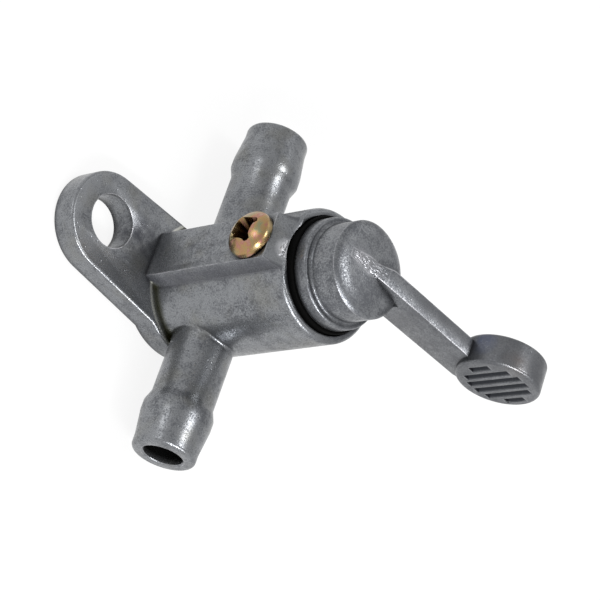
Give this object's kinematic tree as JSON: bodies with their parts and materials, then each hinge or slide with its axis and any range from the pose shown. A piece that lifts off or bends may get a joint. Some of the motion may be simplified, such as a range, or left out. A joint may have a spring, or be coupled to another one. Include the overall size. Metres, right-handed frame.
{
  "type": "fuel tap",
  "caption": "Small inline fuel tap: die-cast body with a hose barb on each side, a fixing ear, and a plug turned by a lever with a ribbed thumb disc.",
  "frame": {"origin": "where the axis of the plug meets the flat back of the flange", "axes": "+Z along the plug axis from the flange to the lever, +X to the fixing ear, +Y along one hose barb; the lever rests towards -X"},
  "size_m": [0.0511, 0.0454, 0.0381],
  "materials": {
    "body_casting": "tumbled die casting, satin, mid grey",
    "lever_casting": "tumbled die casting, satin, mid grey",
    "screw": "yellow passivated zinc plating",
    "seal_rubber": "matt black"
  },
  "bodies": {
    "body": {"valve_body": "body_casting", "retaining_screw": "screw"},
    "plug": {"plug_lever": "lever_casting", "lower_o_ring": "seal_rubber", "upper_o_ring": "seal_rubber", "mouth_ring": "seal_rubber"}
  },
  "joints": [
    {"name": "lever_turn", "type": "hinge", "parent": "body", "child": "plug", "pos_m": [0, 0, 0], "axis": [0, 0, 1], "range_deg": [0, 90]}
  ]
}
